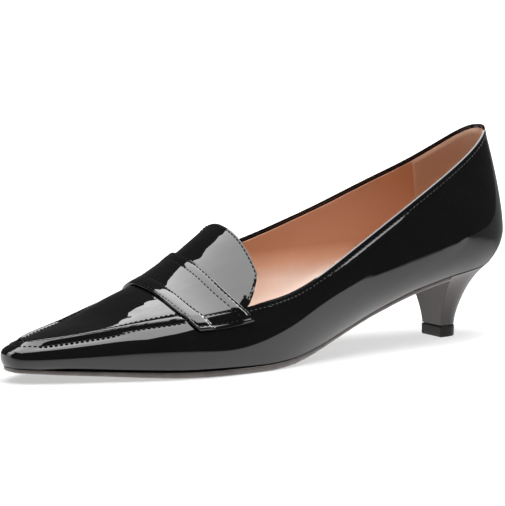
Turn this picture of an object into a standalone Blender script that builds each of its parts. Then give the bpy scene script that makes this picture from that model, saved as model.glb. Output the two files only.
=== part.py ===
# Low-heeled slip-on pump for the left foot, cut like a loafer. Lengths are millimetres until the mesh is made.
# The last is four rails round the shoe: feather line, hip line, edge line (topline, then apron seam) and crown.
# Frame: +X to the toe, +Y to the outer side, +Z up, origin under the middle of the shoe on the floor.

import bpy
import bmesh
import numpy as np

MM = 0.001
LENGTH = 258.0
CENTRE_Y = 1.1
WALL = 1.8
GAP = 0.3

# Where each rail starts at the back and ends at the toe, measured from the rearmost point.
FEATHER_SPAN = (6.0, 257.0)
HIP_SPAN = (0.0, 258.0)
EDGE_SPAN = (9.0, 250.0)

# Columns: place along the rail, outer half width, inner half width, height.
FEATHER = np.array((
    (0.000, 0.0, 0.0, 33.0),
    (0.015, 8.8, 8.8, 32.9),
    (0.050, 15.6, 15.6, 32.3),
    (0.120, 20.6, 20.4, 30.6),
    (0.200, 22.2, 21.2, 26.8),
    (0.300, 22.8, 19.8, 19.0),
    (0.380, 25.4, 18.8, 11.8),
    (0.450, 29.8, 19.2, 6.5),
    (0.520, 34.8, 21.6, 3.6),
    (0.570, 37.0, 24.6, 3.0),
    (0.660, 37.0, 31.6, 3.0),
    (0.720, 34.8, 33.4, 3.2),
    (0.800, 27.8, 29.8, 4.0),
    (0.880, 18.5, 21.5, 5.0),
    (0.940, 11.6, 14.2, 5.8),
    (0.980, 6.8, 9.4, 6.5),
    (0.994, 4.2, 7.1, 6.7),
    (1.000, -1.5, 1.5, 6.8),
))
HIP = np.array((
    (0.000, 0.0, 0.0, 48.7),
    (0.015, 11.0, 11.0, 48.0),
    (0.050, 19.4, 19.4, 46.5),
    (0.120, 26.0, 26.0, 44.4),
    (0.200, 29.0, 29.0, 42.1),
    (0.300, 29.6, 29.0, 36.9),
    (0.380, 31.0, 28.2, 32.4),
    (0.450, 33.2, 28.0, 26.8),
    (0.520, 36.0, 29.4, 18.9),
    (0.580, 38.2, 32.0, 14.0),
    (0.650, 39.0, 34.8, 11.2),
    (0.720, 37.4, 36.4, 11.9),
    (0.800, 30.6, 33.0, 12.3),
    (0.880, 21.0, 24.2, 11.4),
    (0.940, 13.8, 16.6, 10.7),
    (0.980, 7.8, 10.6, 10.2),
    (0.994, 4.7, 7.6, 10.4),
    (1.000, -1.5, 1.5, 10.8),
))
# Columns: place, outer half width, inner half width, outer height, inner height. The throat is at THROAT.
EDGE = np.array((
    (0.000, 0.0, 0.0, 94.0, 94.0),
    (0.015, 8.0, 8.0, 92.2, 92.0),
    (0.050, 14.2, 14.2, 87.4, 86.2),
    (0.120, 19.8, 19.8, 78.4, 77.0),
    (0.200, 23.2, 23.2, 68.6, 69.2),
    (0.300, 25.4, 25.4, 55.8, 60.0),
    (0.380, 27.2, 26.8, 45.6, 53.4),
    (0.450, 29.8, 27.6, 37.6, 48.2),
    (0.520, 32.2, 28.4, 31.8, 43.6),
    (0.590, 34.0, 28.8, 29.2, 38.2),
    (0.650, 31.6, 29.4, 26.8, 32.9),
    (0.720, 29.2, 27.8, 25.0, 27.3),
    (0.800, 23.9, 22.4, 23.2, 24.2),
    (0.880, 15.6, 15.8, 20.5, 21.1),
    (0.940, 9.5, 11.0, 18.4, 19.0),
    (0.980, 5.3, 7.8, 17.3, 17.3),
    (0.994, 2.6, 5.4, 16.9, 16.9),
    (1.000, -1.5, 1.5, 16.8, 16.8),
))
# Columns: place, rise of the arch above the line between the two edges, squareness of that arch, and where its
# ridge lies across: 0 is the middle and -1 the inner edge.
CROWN = np.array((
    (0.540, 27.6, 2.40, -0.05),
    (0.590, 22.0, 2.32, -0.11),
    (0.650, 14.6, 2.10, -0.22),
    (0.720, 9.8, 1.88, -0.32),
    (0.780, 7.2, 1.95, -0.32),
    (0.820, 4.6, 2.10, -0.34),
    (0.850, 2.6, 2.40, -0.36),
    (0.900, 1.4, 2.40, -0.30),
    (0.980, 0.8, 2.20, -0.10),
    (1.000, 0.0, 2.00, 0.00),
))
THROAT = 0.616
# Columns: place, how late the wall above the hip line turns inward, on the outer and on the inner side.
TURN = np.array((
    (0.000, 1.45, 1.45),
    (0.300, 1.45, 1.50),
    (0.590, 1.29, 2.10),
    (0.720, 1.62, 1.90),
    (0.960, 1.70, 1.85),
    (0.992, 2.60, 2.60),
    (1.000, 3.00, 3.00),
))

SEAM_RAISE = 0.8
SEAM_HALF = 1.8
SEAM_FADE = (0.737, 0.750)

TONGUE_LENGTH = 0.040
TONGUE_TAPER = 0.27
TONGUE_ROUND = 0.15

# Columns: how far across the strap, place of its front edge, place of its rear edge.
STRAP = np.array((
    (-1.41, 0.697, 0.598),
    (-1.12, 0.712, 0.609),
    (-0.86, 0.727, 0.624),
    (-0.45, 0.740, 0.643),
    (0.00, 0.742, 0.647),
    (0.45, 0.741, 0.645),
    (0.86, 0.737, 0.635),
    (1.12, 0.729, 0.618),
    (1.41, 0.713, 0.608),
))
STRAP_LOW = 0.95
STRAP_HIGH = 1.35

SOLE = 3.0
SOLE_WAIST = 2.3
SOLE_TOE = 2.3
INSOLE = 2.0

BREAST = 0.132
TIP_BACK = 25.6
TIP_FRONT = 35.5
TIP_HALF = 7.2
TOP_PIECE = 5.0
HEEL_FLARE = (0.80, 1.55, 0.20, 6.0)


def angle(place):
    return np.arccos(np.clip(1.0 - 2.0 * np.asarray(place, float), -1.0, 1.0))


def smooth_slopes(knots, values, level):
    # Slopes of the cubic with continuous curvature. Level ends are flat, the others straight.
    count = len(knots)
    step = np.diff(knots)
    rise = np.diff(values) / step
    system = np.zeros((count, count))
    right = np.zeros(count)
    for i in range(1, count - 1):
        system[i, i - 1] = step[i]
        system[i, i] = 2.0 * (step[i - 1] + step[i])
        system[i, i + 1] = step[i - 1]
        right[i] = 3.0 * (step[i] * rise[i - 1] + step[i - 1] * rise[i])
    for end, near, slope in ((0, 1, rise[0]), (count - 1, count - 2, rise[-1])):
        system[end, end] = 1.0 if level else 2.0
        system[end, near] = 0.0 if level else 1.0
        right[end] = 0.0 if level else 3.0 * slope
    return np.linalg.solve(system, right)


def held_slopes(knots, values):
    # Slopes that never overshoot a row, so a flat stretch of the table stays flat.
    rise = np.diff(values) / np.diff(knots)
    slopes = np.zeros(len(knots))
    for i in range(1, len(knots) - 1):
        if rise[i - 1] * rise[i] > 0.0:
            slopes[i] = 2.0 / (1.0 / rise[i - 1] + 1.0 / rise[i])
    return slopes


def through(knots, values, slopes):
    def value(spot):
        spot = np.clip(spot, knots[0], knots[-1])
        i = np.clip(np.searchsorted(knots, spot, side="right") - 1, 0, len(knots) - 2)
        step = knots[i + 1] - knots[i]
        t = (spot - knots[i]) / step
        start = values[i] * (1 + 2 * t) * (1 - t) ** 2 + slopes[i] * step * t * (1 - t) ** 2
        finish = values[i + 1] * t * t * (3 - 2 * t) - slopes[i + 1] * step * t * t * (1 - t)
        return start + finish

    return value


def curve(table, index, level, held=False):
    knots = angle(table[:, 0])
    values = table[:, index]
    slopes = held_slopes(knots, values) if held else smooth_slopes(knots, values, level)
    shape = through(knots, values, slopes)
    return lambda place: shape(angle(place))


def make_rail(span, table, held=False):
    last = table.shape[1] - 1
    return {
        "span": span,
        "outer": curve(table, 1, False),
        "inner": curve(table, 2, False),
        "outer_height": curve(table, 3, True, held),
        "inner_height": curve(table, last, True, held),
    }


FEATHER_RAIL = make_rail(FEATHER_SPAN, FEATHER, held=True)
HIP_RAIL = make_rail(HIP_SPAN, HIP)
EDGE_RAIL = make_rail(EDGE_SPAN, EDGE)
CROWN_RISE = curve(CROWN, 1, False)
CROWN_SQUARE = curve(CROWN, 2, False)
CROWN_RIDGE = curve(CROWN, 3, False)
TURN_OUTER = curve(TURN, 1, True)
TURN_INNER = curve(TURN, 2, True)


def on_rail(rail, place, side):
    # Points of a rail for one side of the shoe: side is positive on the outer side.
    place = np.asarray(place, float)
    outer = np.asarray(side, float) > 0.0
    back, front = rail["span"]
    along = back + (front - back) * place
    across = np.where(outer, rail["outer"](place), -rail["inner"](place))
    height = np.where(outer, rail["outer_height"](place), rail["inner_height"](place))
    return np.stack(np.broadcast_arrays(along, across, height), axis=-1)


def wall(place, side, fall):
    # Side wall of the last: fall is 0 on the edge line, 1 on the hip line and 2 on the feather line.
    feather = on_rail(FEATHER_RAIL, place, side)
    hip = on_rail(HIP_RAIL, place, side)
    edge = on_rail(EDGE_RAIL, place, side)
    fall = np.asarray(fall, float)[..., None]
    rise = np.clip(1.0 - fall, 0.0, 1.0)
    sink = np.clip(fall - 1.0, 0.0, 1.0)
    late = np.where(np.asarray(side, float) > 0.0, TURN_OUTER(place), TURN_INNER(place))
    turn = rise ** late[..., None]
    point = hip - (hip - edge) * turn - (hip - feather) * sink ** 2
    height = hip + (edge - hip) * rise + (feather - hip) * sink
    point[..., 2] = height[..., 2]
    return point


def plug(place, across):
    # Apron and tongue: an arch from the outer edge line (across = 1) to the inner one (across = -1).
    outer = on_rail(EDGE_RAIL, place, 1.0)
    inner = on_rail(EDGE_RAIL, place, -1.0)
    across = np.asarray(across, float)
    point = (outer + inner) / 2.0 + (outer - inner) / 2.0 * across[..., None]
    ridge = CROWN_RIDGE(place)
    reach = np.abs(across - ridge) / np.where(across > ridge, 1.0 - ridge, 1.0 + ridge)
    arch = 1.0 - reach ** CROWN_SQUARE(place)
    point[..., 2] += CROWN_RISE(place) * arch
    return point


def skin(place, across):
    # The whole outside of the last ahead of the throat: beyond 1 and -1 it runs down the walls.
    place, across = np.broadcast_arrays(np.asarray(place, float), np.asarray(across, float))
    on_top = plug(place, np.clip(across, -1.0, 1.0))
    on_side = wall(place, np.sign(across), np.clip(np.abs(across) - 1.0, 0.0, 2.0))
    return np.where((np.abs(across) <= 1.0)[..., None], on_top, on_side)


def skin_normal(place, across, reach=0.02, spread=0.06):
    ahead = skin(place + reach, across) - skin(place - reach, across)
    beside = skin(place, across + spread) - skin(place, across - spread)
    normal = np.cross(ahead, beside)
    return normal / np.linalg.norm(normal, axis=-1, keepdims=True)


def ease(low, high, value):
    t = np.clip((value - low) / (high - low), 0.0, 1.0)
    return t * t * (3.0 - 2.0 * t)


def seam_raise(place, distance):
    bump = np.cos(np.clip(distance / SEAM_HALF, 0.0, 1.0) * np.pi / 2.0) ** 2
    return SEAM_RAISE * bump * ease(SEAM_FADE[0], SEAM_FADE[1], place)


def to_frame(point):
    moved = np.asarray(point, float) - np.array((LENGTH / 2.0, CENTRE_Y, 0.0))
    return tuple(moved * MM)


def finish(name, mesh_data, color, roughness, coat):
    mesh = bpy.data.meshes.new(name)
    bmesh.ops.recalc_face_normals(mesh_data, faces=mesh_data.faces)
    mesh_data.to_mesh(mesh)
    mesh_data.free()
    piece = bpy.data.objects.new(name, mesh)
    bpy.context.scene.collection.objects.link(piece)
    material = bpy.data.materials.new(name)
    material.use_nodes = True
    shader = material.node_tree.nodes["Principled BSDF"]
    shader.inputs["Base Color"].default_value = (*color, 1.0)
    shader.inputs["Roughness"].default_value = roughness
    shader.inputs["Coat Weight"].default_value = coat
    material.diffuse_color = (*color, 1.0)
    mesh.materials.append(material)
    return piece


def add_grid(mesh_data, points):
    # Quads over a grid of points, rows by columns.
    rows = [[mesh_data.verts.new(to_frame(p)) for p in row] for row in points]
    for lower, upper in zip(rows[:-1], rows[1:]):
        for i in range(len(lower) - 1):
            mesh_data.faces.new((lower[i], lower[i + 1], upper[i + 1], upper[i]))
    return rows


def weld(mesh_data, distance=0.002):
    bmesh.ops.remove_doubles(mesh_data, verts=mesh_data.verts, dist=distance * MM)
    bmesh.ops.dissolve_degenerate(mesh_data, edges=mesh_data.edges, dist=distance * MM)


def upper_stations():
    back = np.linspace(0.0, angle(THROAT), 19)
    covered = np.linspace(angle(THROAT), angle(SEAM_FADE[0]), 6)
    bare = np.linspace(angle(SEAM_FADE[0]), np.pi, 17)
    front = np.concatenate((covered, bare[1:]))
    return (1.0 - np.cos(back)) / 2.0, (1.0 - np.cos(front)) / 2.0


def wall_falls(place, side):
    # Rows of the wall: two close to the edge line for the seam, the rest spread to the feather line.
    edge = on_rail(EDGE_RAIL, place, side)
    hip = on_rail(HIP_RAIL, place, side)
    reach = np.linalg.norm(edge - hip, axis=-1)
    near = np.array((0.0, 0.5, 1.0)) * SEAM_HALF / reach
    upper = np.linspace(near[-1], 1.0, 7)[1:]
    lower = np.linspace(1.0, 2.0, 6)[1:]
    return np.concatenate((near, upper, lower))


def plug_columns(place):
    outer = on_rail(EDGE_RAIL, place, 1.0)
    inner = on_rail(EDGE_RAIL, place, -1.0)
    half = np.linalg.norm(outer - inner, axis=-1) / 2.0
    near = min(SEAM_HALF / max(1.3 * half, 1e-6), 0.3)
    middle = np.linspace(-1.0 + near, 1.0 - near, 13)
    return np.concatenate(((-1.0, -1.0 + near / 2.0), middle, (1.0 - near / 2.0, 1.0)))


def upper_skin():
    # Grids of points with the raise of each, for the two walls, the apron and the tongue.
    back, front = upper_stations()
    grids = []
    places = np.concatenate((back, front[1:]))
    for side in (1.0, -1.0):
        points = []
        raises = []
        for place in places:
            falls = wall_falls(place, side)
            reach = SEAM_HALF / falls[2]
            points.append(wall(np.full(len(falls), place), side, falls))
            raises.append(seam_raise(place, falls * reach))
        grids.append((np.array(points), np.array(raises)))
    points = []
    raises = []
    for place in front:
        columns = plug_columns(place)
        step = SEAM_HALF / (2.0 * (columns[1] - columns[0]))
        points.append(plug(np.full(len(columns), place), columns))
        raises.append(seam_raise(place, (1.0 - np.abs(columns)) * 2.0 * step))
    grids.append((np.array(points), np.array(raises)))
    columns = plug_columns(THROAT)
    rows = []
    for k in np.linspace(0.0, 1.0, 6) ** 0.8:
        narrow = 1.0 - TONGUE_TAPER * k
        reach = k - TONGUE_ROUND * columns ** 6 * k ** 2
        rows.append(plug(THROAT - TONGUE_LENGTH * reach, columns * narrow))
    grids.append((np.array(rows), np.zeros((len(rows), len(columns)))))
    return grids


def build_upper():
    mesh_data = bmesh.new()
    raised = mesh_data.verts.layers.float.new("raise")
    for points, raises in upper_skin():
        rows = add_grid(mesh_data, points)
        for row, lifts in zip(rows, raises):
            for vert, lift in zip(row, lifts):
                vert[raised] = lift
    weld(mesh_data)
    bmesh.ops.recalc_face_normals(mesh_data, faces=mesh_data.faces)
    mesh_data.normal_update()
    foremost = max(mesh_data.faces, key=lambda face: face.calc_center_median().x)
    if foremost.normal.x < 0.0:
        bmesh.ops.reverse_faces(mesh_data, faces=mesh_data.faces)
        mesh_data.normal_update()
    outside = list(mesh_data.verts)
    faces = list(mesh_data.faces)
    rim = [edge for edge in mesh_data.edges if edge.is_boundary]
    feather = on_feather_line(outside)
    inside = {}
    for vert, on_feather in zip(outside, feather):
        inward = -vert.normal.copy()
        if on_feather:
            inward.z = 0.0
            inward.normalize()
        inside[vert] = mesh_data.verts.new(vert.co + inward * (WALL * MM))
    moves = [(vert, vert.co + vert.normal * (vert[raised] * MM)) for vert in outside]
    for vert, place in moves:
        vert.co = place
    for face in faces:
        mesh_data.faces.new([inside[vert] for vert in reversed(face.verts)])
    for edge in rim:
        start, end = edge.verts
        mesh_data.faces.new((start, end, inside[end], inside[start]))
    return finish("upper", mesh_data, (0.012, 0.012, 0.013), 0.12, 1.0)


def on_feather_line(verts):
    # True for each vertex that lies on the feather line.
    places = np.linspace(0.0, np.pi, 400)
    places = (1.0 - np.cos(places)) / 2.0
    lines = [on_rail(FEATHER_RAIL, places, side) for side in (1.0, -1.0)]
    line = np.concatenate(lines)
    shift = np.array((LENGTH / 2.0, CENTRE_Y, 0.0))
    line = (line - shift) * MM
    found = []
    for vert in verts:
        gap = np.abs(line - np.array(vert.co)).sum(axis=1).min()
        found.append(vert.is_boundary and gap < 1.6 * MM)
    return found


def ladder(places, inset, lower, upper, chamfer):
    # A thin solid between two heights above the feather line, its outline inset from that line.
    sections = []
    for place in places:
        drawn = []
        for side, level, cut in (
            (1.0, upper, 0.0), (1.0, lower, 0.0), (1.0, lower, 1.0),
            (-1.0, lower, 1.0), (-1.0, lower, 0.0), (-1.0, upper, 0.0),
        ):
            along, across, feather = plan_inset(place, side, inset(place) + chamfer * cut)
            lift = chamfer if level is lower and cut == 0.0 else 0.0
            drawn.append((along, across, feather + level(place) + lift))
        sections.append(drawn)
    return sections


def plan_inset(place, side, inset):
    # A point of the feather line moved inward, square to the line as seen from above.
    reach = 0.004
    low = max(place - reach, 0.0)
    high = min(place + reach, 1.0)
    point = on_rail(FEATHER_RAIL, place, side)
    ahead = on_rail(FEATHER_RAIL, high, side) - on_rail(FEATHER_RAIL, low, side)
    if place <= reach:
        ahead = np.array((0.0, side, 0.0))
    if place >= 1.0 - 0.0005:
        ahead = np.array((0.0, -side, 0.0))
    square = np.array((ahead[1], -ahead[0])) * side
    square = square / np.linalg.norm(square)
    return np.array((point[0] + square[0] * inset, point[1] + square[1] * inset, point[2]))


def loft(mesh_data, sections):
    rows = [[mesh_data.verts.new(to_frame(p)) for p in section] for section in sections]
    count = len(rows[0])
    for lower, upper in zip(rows[:-1], rows[1:]):
        for i in range(count):
            j = (i + 1) % count
            mesh_data.faces.new((lower[i], lower[j], upper[j], upper[i]))
    mesh_data.faces.new(rows[0])
    mesh_data.faces.new(list(reversed(rows[-1])))
    return rows


def sole_depth(place):
    depth = SOLE_WAIST + (SOLE - SOLE_WAIST) * ease(0.36, 0.52, place)
    return depth - (SOLE - SOLE_TOE) * ease(0.70, 0.92, place)


def build_outsole():
    spots = np.linspace(angle(BREAST + 0.0016), np.pi, 44)
    places = (1.0 - np.cos(spots)) / 2.0

    def inset(place):
        return 0.5 - 1.5 * ease(0.40, 0.58, place) + 1.3 * ease(0.90, 0.99, place)

    mesh_data = bmesh.new()
    sections = ladder(places, inset, lambda place: -sole_depth(place), lambda place: -GAP, 0.6)
    loft(mesh_data, sections)
    weld(mesh_data)
    return finish("outsole", mesh_data, (0.045, 0.035, 0.032), 0.35, 0.3)


def build_insole():
    spots = np.linspace(0.0, np.pi, 44)
    places = (1.0 - np.cos(spots)) / 2.0

    def inset(place):
        return WALL + 0.5

    mesh_data = bmesh.new()
    loft(mesh_data, ladder(places, inset, lambda place: 0.0, lambda place: INSOLE, 0.0))
    weld(mesh_data)
    return finish("insole", mesh_data, (0.72, 0.45, 0.30), 0.6, 0.0)


def tip_loop(count, outset):
    # Lower end of the heel seen from above: flat breast in front, rounded at the back.
    turn = np.linspace(np.pi / 2.0, -np.pi / 2.0, count)
    along = np.abs(np.cos(turn)) ** 0.62
    across = np.sign(np.sin(turn)) * np.abs(np.sin(turn)) ** 0.62
    front = TIP_FRONT + outset
    depth = TIP_FRONT - TIP_BACK + 2.0 * outset
    return np.stack((front - depth * along, (TIP_HALF + outset) * across), axis=-1)


def seat_loop(count):
    spots = np.linspace(-angle(BREAST), angle(BREAST), count)
    points = []
    for spot in -spots:
        place = float((1.0 - np.cos(spot)) / 2.0)
        points.append(plan_inset(place, 1.0 if spot >= 0.0 else -1.0, 0.6))
    return np.array(points)


def flare(level):
    slow, slow_power, fast, fast_power = HEEL_FLARE
    return slow * level ** slow_power + fast * level ** fast_power


def close_loop(mesh_data, loop):
    # Cap over a loop whose two halves mirror each other point for point.
    count = len(loop)
    for i in range(count // 2):
        j = count - 1 - i
        corners = (loop[i], loop[i + 1], loop[j - 1], loop[j])
        if i + 1 == j - 1:
            corners = (loop[i], loop[i + 1], loop[j])
        if i + 1 < j:
            mesh_data.faces.new(corners)


def stack_loops(mesh_data, levels):
    rows = [[mesh_data.verts.new(to_frame(p)) for p in level] for level in levels]
    count = len(rows[0])
    for lower, upper in zip(rows[:-1], rows[1:]):
        for i in range(count):
            j = (i + 1) % count
            mesh_data.faces.new((lower[i], lower[j], upper[j], upper[i]))
    close_loop(mesh_data, rows[0])
    close_loop(mesh_data, rows[-1])


def build_heel():
    count = 31
    seat = seat_loop(count)
    tip = tip_loop(count, 0.0)
    levels = []
    for level in (0.0, 0.12, 0.25, 0.38, 0.5, 0.6, 0.7, 0.78, 0.85, 0.9, 0.94, 0.97, 1.0):
        spread = flare(level)
        plan = tip + (seat[:, :2] - tip) * spread
        base = TOP_PIECE + GAP
        height = base + (seat[:, 2] - GAP - base) * level
        levels.append(np.column_stack((plan, height)))
    mesh_data = bmesh.new()
    stack_loops(mesh_data, levels)
    weld(mesh_data)
    return finish("heel", mesh_data, (0.035, 0.028, 0.026), 0.15, 0.8)


def build_top_piece():
    count = 31
    levels = []
    for outset, height in ((-0.1, 0.0), (0.25, 0.5), (0.35, TOP_PIECE - 0.3), (0.1, TOP_PIECE)):
        plan = tip_loop(count, outset)
        levels.append(np.column_stack((plan, np.full(count, height))))
    mesh_data = bmesh.new()
    stack_loops(mesh_data, levels)
    weld(mesh_data)
    return finish("top_piece", mesh_data, (0.03, 0.025, 0.024), 0.3, 0.3)


def build_strap():
    # Rows run from the front edge to the rear edge, columns from the inner end to the outer end.
    share = np.array((0.0, 0.03, 0.24, 0.27, 0.41, 0.54, 0.67, 0.80, 0.83, 0.97, 1.0))
    margin = np.array((0.2, 1.0, 1.0, 0.0, 0.0, 0.0, 0.0, 0.0, 1.0, 1.0, 0.2))
    thick = STRAP_LOW + (STRAP_HIGH - STRAP_LOW) * margin
    knots = STRAP[:, 0]
    reach = np.linspace(knots[0], knots[-1], 33)
    front = through(knots, STRAP[:, 1], smooth_slopes(knots, STRAP[:, 1], False))(reach)
    rear = through(knots, STRAP[:, 2], smooth_slopes(knots, STRAP[:, 2], False))(reach)
    place = front[None, :] + (rear - front)[None, :] * share[:, None]
    across = np.broadcast_to(reach[None, :], place.shape)
    base = skin(place, across)
    normal = skin_normal(place, across)
    normal = normal * np.where(normal[..., 2:3] < 0.0, -1.0, 1.0)
    under = base + normal * GAP
    over = base + normal * (GAP + thick[:, None, None])
    mesh_data = bmesh.new()
    loops = []
    for i in range(len(reach)):
        loops.append(np.concatenate((over[:, i], under[::-1, i])))
    rows = [[mesh_data.verts.new(to_frame(p)) for p in loop] for loop in loops]
    count = len(rows[0])
    for lower, upper in zip(rows[:-1], rows[1:]):
        for i in range(count):
            j = (i + 1) % count
            mesh_data.faces.new((lower[i], lower[j], upper[j], upper[i]))
    for row in (rows[0], rows[-1]):
        for i in range(count // 2 - 1):
            mesh_data.faces.new((row[i], row[i + 1], row[count - 2 - i], row[count - 1 - i]))
    weld(mesh_data)
    return finish("strap", mesh_data, (0.012, 0.012, 0.013), 0.12, 1.0)


def main():
    for old in list(bpy.data.objects):
        bpy.data.objects.remove(old)
    build_upper()
    build_insole()
    build_outsole()
    build_heel()
    build_top_piece()
    build_strap()


if __name__ == "__main__":
    main()
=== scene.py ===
import math
import bmesh
import bpy
import numpy as np
from mathutils import Matrix, Vector


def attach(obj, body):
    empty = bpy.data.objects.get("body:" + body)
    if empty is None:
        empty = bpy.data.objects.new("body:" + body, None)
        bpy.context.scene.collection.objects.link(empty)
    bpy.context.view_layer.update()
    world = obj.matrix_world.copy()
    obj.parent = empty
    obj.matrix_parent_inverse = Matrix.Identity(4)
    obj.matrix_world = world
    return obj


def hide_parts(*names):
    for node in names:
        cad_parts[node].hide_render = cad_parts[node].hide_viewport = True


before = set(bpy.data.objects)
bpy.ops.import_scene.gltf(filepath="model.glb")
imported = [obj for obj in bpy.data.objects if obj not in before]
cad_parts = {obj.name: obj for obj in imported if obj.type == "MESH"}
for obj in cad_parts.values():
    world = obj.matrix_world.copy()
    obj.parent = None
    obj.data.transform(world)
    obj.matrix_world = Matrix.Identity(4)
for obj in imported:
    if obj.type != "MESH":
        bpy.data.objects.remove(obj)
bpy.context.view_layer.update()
mm = 0.001
joinGap = 0.002     # vertices this near are one, in millimetres
print("frame loaded:", ", ".join(sorted(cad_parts)))

# The last in millimetres from its rearmost point.
# Rail rows: place along it, outer half width, inner half width, height.
lastShape = {
    "length": 258.0,
    "centre": 1.1,
    "throat": 0.616,
    "featherSpan": (6.0, 257.0),
    "feather": (
        (0.000, 0.0, 0.0, 33.0), (0.015, 8.8, 8.8, 32.9), (0.050, 15.6, 15.6, 32.3),
        (0.120, 20.6, 20.4, 30.6), (0.200, 22.2, 21.2, 26.8), (0.300, 22.8, 19.8, 19.0),
        (0.380, 25.4, 18.8, 11.8), (0.450, 29.8, 19.2, 6.5), (0.520, 34.8, 21.6, 3.6),
        (0.570, 37.0, 24.6, 3.0), (0.660, 37.0, 31.6, 3.0), (0.720, 34.8, 33.4, 3.2),
        (0.800, 27.8, 29.8, 4.0), (0.880, 18.5, 21.5, 5.0), (0.940, 11.6, 14.2, 5.8),
        (0.980, 6.8, 9.4, 6.5), (0.994, 4.2, 7.1, 6.7), (1.000, -1.5, 1.5, 6.8),
    ),
    "hipSpan": (0.0, 258.0),
    "hip": (
        (0.000, 0.0, 0.0, 48.7), (0.015, 11.0, 11.0, 48.0), (0.050, 19.4, 19.4, 46.5),
        (0.120, 26.0, 26.0, 44.4), (0.200, 29.0, 29.0, 42.1), (0.300, 29.6, 29.0, 36.9),
        (0.380, 31.0, 28.2, 32.4), (0.450, 33.2, 28.0, 26.8), (0.520, 36.0, 29.4, 18.9),
        (0.580, 38.2, 32.0, 14.0), (0.650, 39.0, 34.8, 11.2), (0.720, 37.4, 36.4, 11.9),
        (0.800, 30.6, 33.0, 12.3), (0.880, 21.0, 24.2, 11.4), (0.940, 13.8, 16.6, 10.7),
        (0.980, 7.8, 10.6, 10.2), (0.994, 4.7, 7.6, 10.4), (1.000, -1.5, 1.5, 10.8),
    ),
    # The edge is the topline as far as the throat and the apron seam ahead of it.
    # It has two heights, outer and inner.
    "edgeSpan": (9.0, 250.0),
    "edge": (
        (0.000, 0.0, 0.0, 94.0, 94.0), (0.015, 8.0, 8.0, 92.2, 92.0), (0.050, 14.2, 14.2, 87.4, 86.2),
        (0.120, 19.8, 19.8, 78.4, 77.0), (0.200, 23.2, 23.2, 68.6, 69.2), (0.300, 25.4, 25.4, 55.8, 60.0),
        (0.380, 27.2, 26.8, 45.6, 53.4), (0.450, 29.8, 27.6, 37.6, 48.2), (0.520, 32.2, 28.4, 31.8, 43.6),
        (0.590, 34.0, 28.8, 29.2, 38.2), (0.650, 31.6, 29.4, 26.8, 32.9), (0.720, 29.2, 27.8, 25.0, 27.3),
        (0.800, 23.9, 22.4, 23.2, 24.2), (0.880, 15.6, 15.8, 20.5, 21.1), (0.940, 9.5, 11.0, 18.4, 19.0),
        (0.980, 5.3, 7.8, 17.3, 17.3), (0.994, 2.6, 5.4, 16.9, 16.9), (1.000, -1.5, 1.5, 16.8, 16.8),
    ),
    # Crown rows: place, rise over the line between the edges, squareness of the arch,
    # where its ridge lies across.
    "crown": (
        (0.540, 27.6, 2.40, -0.05), (0.590, 22.0, 2.32, -0.11), (0.650, 14.6, 2.10, -0.22),
        (0.720, 9.8, 1.88, -0.32), (0.780, 7.2, 1.95, -0.32), (0.820, 4.6, 2.10, -0.34),
        (0.850, 2.6, 2.40, -0.36), (0.900, 1.4, 2.40, -0.30), (0.980, 0.8, 2.20, -0.10),
        (1.000, 0.0, 2.00, 0.00),
    ),
    # Turn rows: place, how late the wall turns in above the hip, on the outer and the inner side.
    "turn": (
        (0.000, 1.45, 1.45), (0.300, 1.45, 1.50), (0.590, 1.29, 2.10), (0.720, 1.62, 1.90),
        (0.960, 1.70, 1.85), (0.992, 2.60, 2.60), (1.000, 3.00, 3.00),
    ),
}


def placeAngle(place):
    return np.arccos(np.clip(1.0 - 2.0 * np.asarray(place, float), -1.0, 1.0))


def bendSlopes(knots, values, level):
    # slopes of a cubic with no jump in curvature, flat at both ends where level
    count = len(knots)
    step = np.diff(knots)
    rise = np.diff(values) / step
    system = np.zeros((count, count))
    right = np.zeros(count)
    for i in range(1, count - 1):
        system[i, i - 1:i + 2] = step[i], 2.0 * (step[i - 1] + step[i]), step[i - 1]
        right[i] = 3.0 * (step[i] * rise[i - 1] + step[i - 1] * rise[i])
    for end, near, slope in ((0, 1, rise[0]), (count - 1, count - 2, rise[-1])):
        system[end, end] = 1.0 if level else 2.0
        system[end, near] = 0.0 if level else 1.0
        right[end] = 0.0 if level else 3.0 * slope
    return np.linalg.solve(system, right)


def flatSlopes(knots, values):
    # slopes that never overshoot a row, so the tread stays flat
    rise = np.diff(values) / np.diff(knots)
    slopes = np.zeros(len(knots))
    for i in range(1, len(knots) - 1):
        if rise[i - 1] * rise[i] > 0.0:
            slopes[i] = 2.0 / (1.0 / rise[i - 1] + 1.0 / rise[i])
    return slopes


def through(knots, values, slopes):
    def at(spot):
        spot = np.clip(spot, knots[0], knots[-1])
        i = np.clip(np.searchsorted(knots, spot, side="right") - 1, 0, len(knots) - 2)
        step = knots[i + 1] - knots[i]
        t = (spot - knots[i]) / step
        near = values[i] * (1 + 2 * t) * (1 - t) ** 2 + slopes[i] * step * t * (1 - t) ** 2
        far = values[i + 1] * t * t * (3 - 2 * t) - slopes[i + 1] * step * t * t * (1 - t)
        return near + far

    return at


def railCurve(rows, column, level=False, flat=False):
    table = np.array(rows)
    knots = placeAngle(table[:, 0])
    values = table[:, column]
    line = through(knots, values, flatSlopes(knots, values) if flat else bendSlopes(knots, values, level))
    return lambda place: line(placeAngle(place))


def makeRail(name, flat=False):
    rows = lastShape[name]
    last = len(rows[0]) - 1
    return {
        "span": lastShape[name + "Span"],
        "outer": railCurve(rows, 1),
        "inner": railCurve(rows, 2),
        "outerHeight": railCurve(rows, 3, True, flat),
        "innerHeight": railCurve(rows, last, True, flat),
    }


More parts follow.
